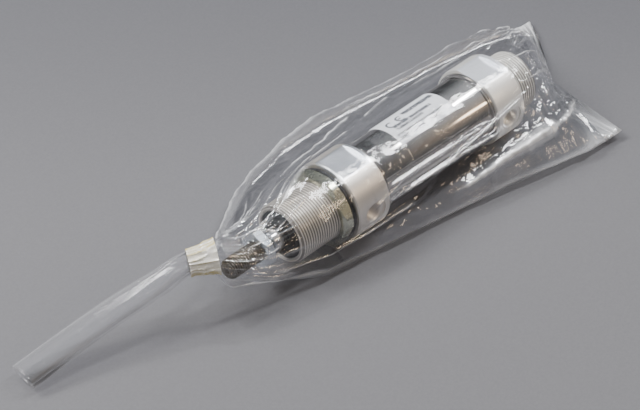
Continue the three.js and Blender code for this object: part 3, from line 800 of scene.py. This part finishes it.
def film_reach(angle, section):
    """How far the taut loop round a circle and two flat edges reaches at an angle: the
    least of h(n) / cos(t - n) over all normals n, where h is the loop's support."""
    near, far, radius, y, z, low = section
    normals = np.linspace(0, TAU, 240, endpoint=False)
    corners = np.array([(edge - y, height - z) for edge in (near, far) for height in (low, low + FILM_LIP)])
    support = np.max(corners @ np.stack([np.cos(normals), np.sin(normals)]), axis=0)
    support = np.maximum(support, radius)
    facing = np.cos(angle[:, None] - normals[None, :])
    least_facing, least_drop, far_away = 0.01, 1e-3, 1e9
    reach = support[None, :] / np.maximum(facing, least_facing)
    reach = np.where(facing > least_facing, reach, far_away).min(1)
    drop = -np.sin(angle)
    limit = np.where(drop > least_drop, (z - low) / np.maximum(drop, least_drop), far_away)
    return np.minimum(reach, limit)


def ridge(x, across, start, end, width):
    """A straight fold from start to end, each an (x, share) pair: 1 on its line, falling
    in straight sides to 0 at the width, and fading out over its last fifth."""
    scale = np.array([1.0, 100.0])
    first, last = np.array(start) * scale, np.array(end) * scale
    run = last - first
    length = np.hypot(*run)
    px, py = x - first[0], across * 100.0 - first[1]
    along = (px * run[0] + py * run[1]) / length ** 2
    off = np.abs(px * run[1] - py * run[0]) / length
    ends = smooth(-0.02, 0.2, along) * (1 - smooth(0.8, 1.02, along))
    return np.clip(1 - off / width, 0, 1) * ends


# Each fold's start and end as (x in mm, share across the top from near to far), its
# width and its height in mm
FOLDS = [
    ((-77, 0.36), (-24, 0.50), 1.3, 0.8), ((-77, 0.46), (-8, 0.68), 1.2, 0.9),
    ((-76, 0.53), (-16, 0.76), 1.2, 1.0), ((-77, 0.60), (-30, 0.83), 1.2, 1.0),
    ((-76, 0.68), (-20, 0.90), 1.4, 1.1), ((-74, 0.78), (-30, 0.95), 1.4, 1.0),
    ((-77, 0.24), (-50, 0.33), 1.2, 0.7), ((-66, 0.42), (-40, 0.38), 1.0, 0.6),
    ((-48, 0.55), (4, 0.80), 1.6, 1.4), ((-30, 0.80), (46, 0.90), 2.2, 1.8),
    ((-12, 0.70), (26, 0.77), 2.0, 1.5), ((-64, 0.08), (-8, 0.11), 1.4, 1.0),
    ((-34, 0.11), (30, 0.10), 1.8, 1.6), ((-2, 0.20), (26, 0.27), 1.4, 1.0),
    ((-44, 0.52), (-12, 0.66), 5.0, 2.6), ((2, 0.27), (86, 0.21), 1.8, 1.6),
    ((10, 0.19), (92, 0.14), 1.8, 1.8),
    ((26, 0.15), (112, 0.23), 1.6, 1.6), ((40, 0.045), (116, 0.065), 2.6, 3.0),
    ((32, 0.78), (60, 0.84), 3.6, 2.4), ((62, 0.82), (118, 0.74), 2.0, 1.6),
    ((98, 0.60), (142, 0.66), 1.6, 1.8), ((100, 0.44), (143, 0.40), 1.8, 2.0),
    ((104, 0.30), (143, 0.20), 1.8, 2.2), ((112, 0.72), (143, 0.82), 1.8, 2.0),
    ((118, 0.52), (143, 0.54), 1.4, 1.6), ((96, 0.82), (140, 0.93), 2.0, 1.8),
    ((84, 0.06), (140, 0.05), 2.0, 1.6), ((40, 0.95), (110, 0.93), 2.0, 1.4),
]


def film_loops(rows, over, under):
    """A grid of taut loops, one at each even step along the stations. A loop has its points
    over the near and far edges by even angles, then back under them."""
    table = np.array(FILM_STATIONS) * MM
    key = np.concatenate([[0], np.cumsum(np.diff(table[:, 0]))])
    at = np.linspace(0, key[-1], rows)
    columns = [np.interp(at, key, column) for column in table.T]
    blur = 13
    kernel = np.hanning(blur) / np.hanning(blur).sum()
    for place, column in enumerate(columns[1:], 1):
        columns[place] = np.convolve(np.pad(column, blur // 2, mode="edge"), kernel, mode="valid")
    loops = []
    for x, near, far, radius, y, z, low in zip(*columns):
        middle = low + FILM_LIP / 2 - z
        near_angle = math.atan2(middle, near - y) % TAU
        far_angle = math.atan2(middle, far - y)
        upper = np.linspace(near_angle, far_angle, over, endpoint=False)
        lower = np.linspace(far_angle, near_angle - TAU, under, endpoint=False)
        angle = np.concatenate([upper, lower])
        reach = film_reach(angle, (near, far, radius, y, z, low))
        across, up = reach * np.cos(angle), reach * np.sin(angle)
        loops.append(np.stack([x + 0 * angle, y + across, AXIS_Z + z + up], -1))
    return np.array(loops)


def outward_normals(points):
    """Unit normals of a grid of loops, turned to point away from the cylinder's axis."""
    along_u = np.gradient(points, axis=0)
    along_v = np.roll(points, -1, 1) - np.roll(points, 1, 1)
    normal = np.cross(along_v, along_u)
    normal /= np.maximum(np.linalg.norm(normal, axis=-1, keepdims=True), TINY)
    radial = points * (0, 1, 1) - (0, 0, AXIS_Z)
    return normal * np.sign((normal * radial).sum(-1, keepdims=True) + TINY)


def straight_folds(x, across, top):
    """At each point, the nearness to the nearest fold's line and the tallest fold's height."""
    nearness = np.zeros_like(x)
    height = np.zeros_like(x)
    for start, end, width, tall in FOLDS:
        one = ridge(x, across, start, end, width) * top
        nearness = np.maximum(nearness, one)
        height = np.maximum(height, one * tall)
    return nearness, height


def bag_film(material):
    """The bag's film: taut loops through the stations, swept back at the far corner, then
    raised along its normals by pleats at the neck, straight folds, soft waves and crinkles
    where it is slack. The crease attribute is 1 on the sharpest lines."""
    rows, over, under = 340, 210, 56
    points = film_loops(rows, over, under)
    station = points[..., 0].copy()
    y = points[..., 1].copy()
    sweep = REAR_SWEEP * smooth(78 * MM, 143 * MM, station) * smooth(-22 * MM, 46 * MM, y)
    slant = 0.3 * (y - 6 * MM) * (1 - smooth(-82 * MM, -66 * MM, station))
    points[..., 0] += sweep + slant
    top = np.tile(np.concatenate([np.ones(over), np.zeros(under)]), (rows, 1))
    across = np.tile(np.concatenate([np.linspace(0, 1, over), np.linspace(1, 0, under)]), (rows, 1))
    normal = outward_normals(points)
    x = station / MM
    arc = across * 100
    height = (points[..., 2] - FLOOR_Z) / MM
    slack = smooth(21.5, 30, np.hypot(y, points[..., 2] - AXIS_Z) / MM)
    neck = 1 - smooth(-72, -24, x)
    back = smooth(98, 128, x)
    pleats = creases(across * 30 + 0.02 * x, x / 70 + 3, 11)
    waves = creases(arc / 17 + x / 60, x / 52 - arc / 34, 21)
    crinkle = creases(x / 10 + arc / 15, arc / 8 - x / 18, 31)
    fine = creases(x / 4.6, arc / 5.2, 41)
    fold, fold_height = straight_folds(x, across, top)

    lift = neck * pleats * (0.5 + 1.0 * smooth(-82, -62, x)) + fold_height
    lift = lift + 1.5 * slack * waves * (1 - 0.4 * back) + 1.9 * back * crinkle + 0.6 * back * fine
    lift = lift + 0.5 * crinkle * (0.25 + slack) + 0.15 * fine
    points = points + normal * (lift * smooth(0.2, 3.0, height) * top * MM)[..., None]
    far_lift = smooth(0.88, 1.0, across) * (1.0 + 3.0 * lattice_noise(x / 22, x * 0, 51))
    near_lift = (1 - smooth(0.0, 0.12, across)) * (1.0 + 4.0 * lattice_noise(x / 26, x * 0, 61))
    points[..., 2] += (far_lift + near_lift) * top * MM * smooth(-60, -30, x)
    points[..., 2] = np.maximum(points[..., 2], FLOOR_Z + 0.1 * MM)

    # the crease attribute whitens the film on folds, pleats, crinkles, rims and seal: partly the film's own
    # whitening, partly a painted highlight
    rims = np.maximum(1 - smooth(0.0, 0.012, across), smooth(0.988, 1.0, across))
    seal = np.exp(-((x - 141.5) / 0.5) ** 2) + np.exp(-((x - 138.8) / 0.4) ** 2)
    wedge = ridge(x, across, (42, 0.045), (114, 0.065), 0.5 + 2.2 * smooth(42, 110, x))
    crease = smooth(0.55, 1.0, fold) * (0.45 + 0.9 * lattice_noise(x / 7, arc / 30, 121))
    crease = crease + 0.6 * smooth(0.05, 0.25, wedge) * (0.7 + 0.5 * lattice_noise(x / 12, arc / 3, 131))
    crease = crease + 0.85 * neck * smooth(0.85, 1.2, pleats)
    crease = crease + 0.7 * (back + 0.25 * slack) * smooth(0.95, 1.35, crinkle)
    crease = crease + 0.5 * back * smooth(0.95, 1.4, fine)
    crease = np.clip(crease * top + 0.8 * rims + 0.5 * seal, 0, 1)

    loop = over + under
    flat = np.concatenate([points.reshape(-1, 3), points[-1].mean(0)[None]])
    ring = (rows - 1) * loop + np.arange(loop)
    fan = np.stack([ring, np.roll(ring, -1), np.full(loop, len(flat) - 1)], -1)
    piece = make_piece("bag_film", flat, [grid_faces(rows, loop, True), fan], material, None)
    layer = piece.data.attributes.new("crease", "FLOAT", "POINT")
    layer.data.foreach_set("value", np.append(crease.ravel(), 0.0).astype(np.float32))
    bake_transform(piece)
    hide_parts("bag_body", "bag_neck")


BAND_FRONT = np.array([-78.25, 3.5, 8.4]) * MM + np.array([0, 0, AXIS_Z])
BAND_AXIS = np.array([-1.0, 0.64, -0.12]) / np.linalg.norm([-1.0, 0.64, -0.12])
BAND_LENGTH = 13 * MM


def frames_along(points, count):
    """A smooth path through the points, with a side and an up direction at each step. The
    path is a cubic Hermite curve, its knots spaced by the square roots of the chords."""
    points = np.asarray(points, float)
    steps = np.linalg.norm(np.diff(points, axis=0), axis=1) ** 0.5
    knots = np.concatenate([[0], np.cumsum(steps)])
    at = np.linspace(0, knots[-1], count)
    slopes = np.gradient(points, knots, axis=0)
    place = np.clip(np.searchsorted(knots, at, side="right") - 1, 0, len(knots) - 2)
    span = (knots[place + 1] - knots[place])[:, None]
    t = (at - knots[place])[:, None] / span
    path = (
        (2 * t ** 3 - 3 * t ** 2 + 1) * points[place] + (t ** 3 - 2 * t ** 2 + t) * span * slopes[place]
        + (3 * t ** 2 - 2 * t ** 3) * points[place + 1] + (t ** 3 - t ** 2) * span * slopes[place + 1]
    )
    along = np.gradient(path, axis=0)
    along /= np.linalg.norm(along, axis=1, keepdims=True)
    side = np.cross([0, 0, 1.0], along)
    side /= np.linalg.norm(side, axis=1, keepdims=True)
    return path, side, np.cross(along, side)


def bag_tail(material):
    """The gathered film past the band: a sheet rolled 1.7 turns, drawn in at the band and
    open at its cut end. Its section is a spiral, scaled to a half width and half height."""
    band_end = BAND_FRONT + BAND_AXIS * BAND_LENGTH
    end = np.array([TAIL[0].x + 1 * MM, TAIL[1].y - 9.5 * MM, FLOOR_Z + 5.2 * MM])
    run = np.array([0.17, 0.4, 0.68, 1.0])[:, None]
    bow = np.sin(math.pi * run) * (0, 3.0 * MM, -1.5 * MM)
    beyond = band_end + (end - band_end) * run + bow
    inside_band = BAND_FRONT + BAND_AXIS * np.array([[0.5], [6], [14]]) * MM
    rows, columns = 170, 240
    turns = 1.7 * TAU
    path, side, up = frames_along(np.concatenate([inside_band, beyond]), rows)
    share = np.linspace(0, 1, rows)[:, None]
    turn = np.linspace(0, turns, columns)[None, :]
    flat = smooth(0.12, 0.55, share)
    half_width = MM * (5.6 + (8.8 - 5.6) * flat)
    half_height = MM * (5.2 + (4.4 - 5.2) * flat)
    pleat = creases(turn * 1.9, share * 2, 71)
    long_fold = creases(turn * 0.8, share * 1.6, 81)
    drawn = 1 - smooth(0.16, 0.42, share)
    size = (0.70 + 0.30 * turn / turns) * (1 + 0.26 * drawn * (pleat - 0.6) + 0.07 * (long_fold - 0.6))
    start = 3.6 + 0.5 * share
    across = np.cos(turn + start) * size * half_width
    upward = np.sin(turn + start) * size * half_height
    points = path[:, None, :] + across[..., None] * side[:, None, :] + upward[..., None] * up[:, None, :]
    cut = lattice_noise(turn * 0.8, 0 * turn, 91) - 0.5
    points[..., 0] += 1.6 * MM * cut * smooth(0.9, 1, share)
    points[..., 2] = np.maximum(points[..., 2], FLOOR_Z + 0.2 * MM)
    quads = grid_faces(rows, columns, False)
    piece = make_piece("bag_tail_roll", points, [quads], material, None, outward=False)
    wall = piece.modifiers.new("wall", "SOLIDIFY")
    wall.thickness = 0.08 * MM
    wall.offset = -1.0
    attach(piece, "slider")
    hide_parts("bag_tail")


def neck_band(material):
    """The band: a sleeve of tape in two turns, creased by the pleats under it. Its radius
    widens towards the bag by 2.2 (1 - s)^1.4 mm, and steps in where the second turn ends."""
    rows, columns = 70, 120
    share = np.linspace(0, 1, rows)[:, None]
    turn = np.linspace(0, TAU, columns, endpoint=False)[None, :]
    pleat = creases(turn * 18 / TAU, share * 1.2, 101)
    wave = creases(turn * 10 / TAU, share * 6, 111)
    lip = np.exp(-((share - 0.02) / 0.03) ** 2) + np.exp(-((share - 0.98) / 0.03) ** 2)
    step = smooth(0.45, 0.50, share + 0.04 * np.sin(turn))
    flare = 2.2 * (1 - share) ** 1.4
    radius = MM * (6.1 - 0.2 * step + 0.25 * lip + 0.75 * (pleat - 0.5) + 0.12 * (wave - 0.5) + flare)
    path = BAND_FRONT + BAND_AXIS * (share * BAND_LENGTH * 1.02)
    side = np.cross([0, 0, 1.0], BAND_AXIS)
    side /= np.linalg.norm(side)
    up = np.cross(BAND_AXIS, side)
    across = (radius * np.cos(turn))[..., None] * side + (radius * np.sin(turn))[..., None] * up
    outer = path[:, None, :] + across
    inner = path[:, None, :] + across * 0.93
    shell = np.concatenate([outer, inner[::-1], outer[:1]])
    piece = make_piece("tape_band", shell, [grid_faces(len(shell), columns, True)], material, 40, merge=1e-7)
    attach(piece, "slider")
    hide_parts("neck_band")


# ---------------------------------------------------------------- camera, floor and light

def camera():
    azimuth, elevation = math.radians(-45.89), math.radians(40.82)
    level = math.cos(elevation)
    back = Vector((math.sin(azimuth) * level, -math.cos(azimuth) * level, math.sin(elevation)))
    target = Vector((-19.2 * MM, 0, AXIS_Z))
    data = bpy.data.cameras.new("camera")
    data.lens = 139.6
    data.sensor_width = 36
    data.shift_x = 0.0084
    data.shift_y = 0.0108
    data.clip_start, data.clip_end = 0.05, 20
    made = bpy.data.objects.new("camera", data)
    made.location = target + back * 1.1442
    made.rotation_mode = "QUATERNION"
    made.rotation_quaternion = (-back).to_track_quat("-Z", "Y")
    bpy.context.scene.collection.objects.link(made)
    bpy.context.scene.camera = made


def floor():
    """A plain table top, a little darker towards the far right: painted shade, standing in for the light
    falling off there.
    """
    made = Finish("table_top", Roughness=0.6)
    made.shader.inputs["Specular IOR Level"].default_value = 0.3
    fine = made.noise(900.0, 4.0)
    pale = made.mix(fine, (0.117, 0.117, 0.127), (0.148, 0.148, 0.160))
    dark = made.mix(fine, (0.086, 0.087, 0.097), (0.110, 0.111, 0.124))
    # painted shade: the colour darkens towards the far right, for the light's falloff
    beyond = (made.axis("X") + made.axis("Y")).ramp(-0.02, 0.32)
    made.feed(Base_Color=made.mix(beyond, pale, dark))
    made.bump(fine, 0.15, 0.05 * MM)
    square = 3.0 * np.array([[-1, -1], [1, -1], [1, 1], [-1, 1]])
    corners = np.insert(square, 2, FLOOR_Z - 0.02 * MM, axis=1)
    piece = make_piece("table", corners, [np.array([[0, 1, 2, 3]])], made.material, None, outward=False)


def soft_light(name, direction, distance, width, height, power, colour):
    data = bpy.data.lights.new(name, "AREA")
    data.shape = "RECTANGLE"
    data.size, data.size_y = width, height
    data.energy = power
    data.color = colour
    lamp = bpy.data.objects.new(name, data)
    aim = Vector(direction).normalized()
    lamp.location = aim * distance
    lamp.rotation_mode = "QUATERNION"
    lamp.rotation_quaternion = aim.to_track_quat("Z", "Y")
    bpy.context.scene.collection.objects.link(lamp)


def room():
    """A room's light: cool overhead, dark towards the horizon, and warm on the near side."""
    world = bpy.data.worlds.new("room")
    world.use_nodes = True
    bpy.context.scene.world = world
    tree = world.node_tree
    place = add_node(tree, "ShaderNodeTexCoord", out="Generated")
    ahead = add_node(tree, "ShaderNodeSeparateXYZ", out="Y", Vector=place)
    up = add_node(tree, "ShaderNodeSeparateXYZ", out="Z", Vector=place)
    near = (1 - ahead.ramp(-0.85, -0.2)) * up.ramp(0.0, 0.5)
    strength = 0.085 + 0.56 * up.ramp(0.35, 1.0) + 0.26 * near
    tint = mixed_colour(tree, near, (0.90, 0.95, 1.0), (1.0, 0.80, 0.62))
    shade = tree.nodes["Background"]
    tree.links.new(tint.socket, shade.inputs["Color"])
    tree.links.new(strength.socket, shade.inputs["Strength"])


camera()
floor()
room()
soft_light("window", (-0.45, 0.70, 0.95), 1.3, 0.55, 0.55, 24.0, (1.0, 0.985, 0.96))
soft_light("overhead", (0.54, -0.10, 0.84), 1.3, 0.12, 0.6, 13.0, (1.0, 1.0, 1.0))
soft_light("far_lamp", (0.10, 0.50, 0.85), 1.4, 0.08, 0.08, 4.0, (0.95, 0.98, 1.0))
soft_light("left_lamp", (-0.80, 0.15, 0.60), 1.4, 0.08, 0.10, 4.0, (1.0, 0.97, 0.93))
soft_light("near_lamp", (0.35, -0.75, 0.55), 1.5, 0.5, 0.10, 2.6, (1.0, 0.78, 0.55))

CAP_METAL = turned_metal(
    "front_cap_metal", (0.97, 0.92, 0.86), (0.82, 0.78, 0.73),
    metal=0.88, rough=0.40, marks=0.60, thread=True,
)
# painted light: the rear cap takes a paler, less metallic copy of the cap metal, so that it reads as more
# brightly lit than the front cap
REAR_METAL = turned_metal(
    "rear_cap_metal", (0.98, 0.97, 0.94), (0.90, 0.89, 0.86),
    metal=0.55, rough=0.42, marks=0.50, thread=True,
)
YELLOW_ZINC = plated("yellow_zinc", (0.76, 0.77, 0.64), (0.46, 0.47, 0.37), (0.62, 0.66, 0.54), rough=0.17)
BRIGHT_ZINC = plated("bright_zinc", (0.78, 0.83, 0.88), (0.62, 0.66, 0.72), (0.66, 0.75, 0.82), rough=0.22)
BLACK_RUBBER = rubber("black_rubber")
BLACK_STEEL = rubber("black_washer", 0.02)

front_cap(CAP_METAL)
rear_cap(REAR_METAL)
barrel_tube(polished_tube())
hex_nut(
    "nose_hex_nut", "nose_nut", "nose_nut", YELLOW_ZINC,
    across=36 * MM, hole=THREAD_R, pitch=THREAD_PITCH, corner=19.6 * MM, turn=53, rim=0.62,
)
hex_nut(
    "rod_hex_nut", "rod_nut", "rod_nut", BRIGHT_ZINC,
    across=17 * MM, hole=STUD_R, pitch=STUD_PITCH, corner=9.6 * MM, turn=14, rim=0.55,
)
nose_washer(BLACK_STEEL)
piston_rod(rod_steel())
wiper_seal(BLACK_RUBBER)
label(printed_label())

CLEAR_FILM = clear_film(
    "clear_film", (0.96, 0.97, 1.0),
    least=0.085, most=0.88, haze=0.02, rough=0.045, crinkle=0.32, creased=0.56,
)
bag_film(CLEAR_FILM.material)
bag_tail(milky_film())
neck_band(band_tape())

BRONZE = turned_metal(
    "bush_bronze", (0.62, 0.45, 0.25), (0.42, 0.28, 0.14), metal=1.0, rough=0.42, marks=0.5, mark_size=3000.0,
)
PISTON_METAL = turned_metal(
    "piston_metal", (0.74, 0.75, 0.76), (0.58, 0.59, 0.61), metal=1.0, rough=0.30, marks=0.4,
)
GUIDE_PLASTIC = moulded("guide_plastic", (0.26, 0.14, 0.08), (0.17, 0.09, 0.05), rough=0.45)
MAGNET_PLASTIC = moulded("magnet_plastic", (0.09, 0.09, 0.10), (0.04, 0.04, 0.045), rough=0.55)

# The pieces inside the tube keep their CAD meshes and take these materials
INSIDE = {
    "rod_bush": BRONZE,
    "front_cap_oring": BLACK_RUBBER, "rear_cap_oring": BLACK_RUBBER,
    "front_buffer": BLACK_RUBBER, "rear_buffer": BLACK_RUBBER,
    "piston_seal_front": BLACK_RUBBER, "piston_seal_rear": BLACK_RUBBER,
    "guide_ring": GUIDE_PLASTIC,
    "piston_front_half": PISTON_METAL, "piston_rear_half": PISTON_METAL,
    "piston_magnet": MAGNET_PLASTIC,
    "piston_nut": YELLOW_ZINC,
}
for node_name, material in INSIDE.items():
    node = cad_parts[node_name]
    node.data.materials.clear()
    node.data.materials.append(material)
